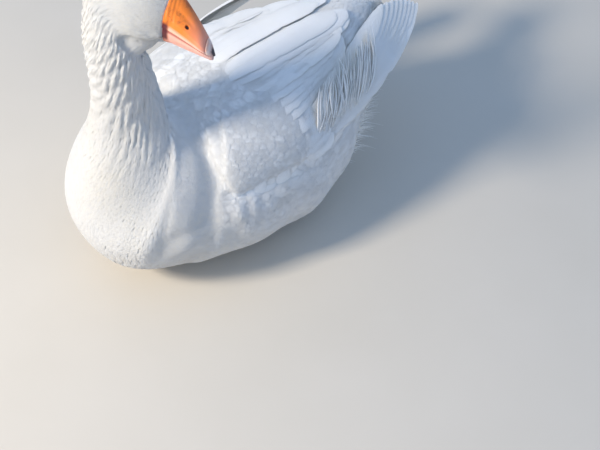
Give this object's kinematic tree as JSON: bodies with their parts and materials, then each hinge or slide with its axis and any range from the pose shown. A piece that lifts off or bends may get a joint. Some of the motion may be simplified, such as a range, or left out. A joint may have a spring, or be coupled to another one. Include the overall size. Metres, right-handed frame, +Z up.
{
  "type": "domestic goose",
  "caption": "Life-size still model of a white domestic goose resting on the floor with its head turned over its left shoulder and its wings folded.",
  "frame": {"origin": "on the floor under the middle of the belly", "axes": "-Y the way the breast faces, +X the goose's left side, +Z up"},
  "size_m": [0.2692, 0.517, 0.4022],
  "materials": {
    "plumage": "matt, white feathers",
    "flight_feather": "smooth white flight feathers with a faint sheen",
    "bill_horn": "orange horn with a satin skin",
    "bill_nail": "pale horn",
    "eye": "wet and clear",
    "foot_skin": "orange scaly skin"
  },
  "bodies": {
    "root": {"bill_lower": "bill_horn", "bill_nail": "bill_nail", "bill_upper": "bill_horn", "breast": "plumage", "eye_left": "eye", "eye_right": "eye", "flank_left": "plumage", "flank_right": "plumage", "foot_left": "foot_skin", "foot_right": "foot_skin", "head": "plumage", "neck_lower": "plumage", "neck_upper": "plumage", "primaries_inner_left": "flight_feather", "primaries_inner_right": "flight_feather", "primaries_middle_left": "flight_feather", "primaries_middle_right": "flight_feather", "primaries_outer_left": "flight_feather", "primaries_outer_right": "flight_feather", "rump": "plumage", "scapulars_left": "plumage", "scapulars_right": "plumage", "secondaries_left": "flight_feather", "secondaries_right": "flight_feather", "shank_left": "foot_skin", "shank_right": "foot_skin", "tail": "flight_feather", "tertials_left": "flight_feather", "tertials_right": "flight_feather", "trunk": "plumage", "wing_cover_left": "plumage", "wing_cover_right": "plumage"}
  },
  "joints": []
}
